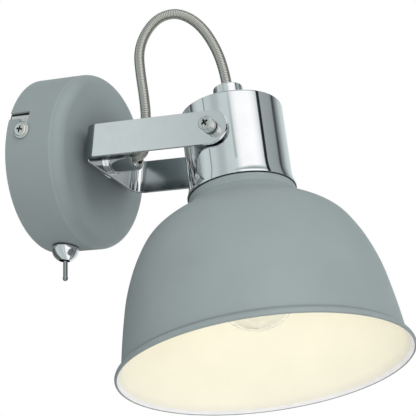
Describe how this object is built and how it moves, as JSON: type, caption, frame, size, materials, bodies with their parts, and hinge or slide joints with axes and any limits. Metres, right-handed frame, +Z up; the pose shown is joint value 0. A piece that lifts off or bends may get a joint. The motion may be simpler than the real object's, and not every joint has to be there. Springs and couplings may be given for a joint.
{
  "type": "wall reading lamp",
  "caption": "Wall-mounted reading lamp: round canopy with toggle switch, swivelling U bracket and a tilting dome-shaded spot fed by a flexible conduit.",
  "frame": {"origin": "centre of the canopy's back rim on the wall, on the swivel axis", "axes": "+Z up, the wall is the plane y = 0 and the lamp stands out along -Y, +X to the right of someone facing the wall"},
  "size_m": [0.15, 0.21, 0.2166],
  "materials": {
    "grey_paint": "matt powder coat",
    "chrome": "polished",
    "nickel_hose": "close-wound nickelled steel",
    "zinc": "zinc plated",
    "brass": "plain",
    "black_plastic": "moulded",
    "white_plastic": "moulded",
    "lead": "smooth sheath",
    "bulb_glass": "clear",
    "tungsten": "drawn wire"
  },
  "bodies": {
    "wall_base": {"wall_bracket": "zinc", "canopy": "grey_paint", "canopy_side_screws": "zinc", "terminal_block": "white_plastic", "terminal_barrels": "brass", "terminal_clamp_screws": "zinc", "terminal_block_screw": "zinc", "earth_washer": "zinc", "earth_screw": "zinc", "switch_body": "black_plastic", "switch_lugs": "brass", "switch_bush": "chrome", "switch_inner_nut": "chrome", "switch_ball_nut": "chrome", "swivel_stop_pin": "zinc"},
    "switch_lever": {"toggle_lever": "chrome"},
    "yoke": {"swivel_stud": "zinc", "swivel_lock_nut": "zinc", "swivel_wave_washer": "zinc", "swivel_stop_washer": "zinc", "swivel_spacer": "chrome", "yoke_bracket": "chrome", "swivel_sleeve_nut": "chrome", "conduit": "nickel_hose", "conduit_cable": "lead"},
    "head": {"head_cup": "chrome", "head_gland": "chrome", "head_nipple": "zinc", "head_lock_nut": "zinc", "pivot_screws": "chrome", "pivot_washers": "chrome", "pivot_spacers": "chrome", "pivot_nuts": "zinc", "lampholder_body": "black_plastic", "lampholder_shell": "brass", "lampholder_contact": "brass", "shade_ring_nut": "black_plastic", "shade": "grey_paint", "bulb_glass": "bulb_glass", "bulb_cap": "zinc", "bulb_contact": "brass", "bulb_stem": "bulb_glass", "bulb_filament": "tungsten"}
  },
  "joints": [
    {"name": "bracket_swivel", "type": "hinge", "parent": "wall_base", "child": "yoke", "pos_m": [0, -0.035, 0], "axis": [0, 1, 0], "range_deg": [-160, 160]},
    {"name": "head_tilt", "type": "hinge", "parent": "yoke", "child": "head", "pos_m": [0, -0.1115, 0], "axis": [-1, 0, 0], "range_deg": [-22, 78], "deforming": ["conduit", "conduit_cable"]},
    {"name": "switch_toggle", "type": "hinge", "parent": "wall_base", "child": "switch_lever", "pos_m": [0, -0.0135, -0.0485], "axis": [0, 1, 0], "range_deg": [0, 20]}
  ]
}
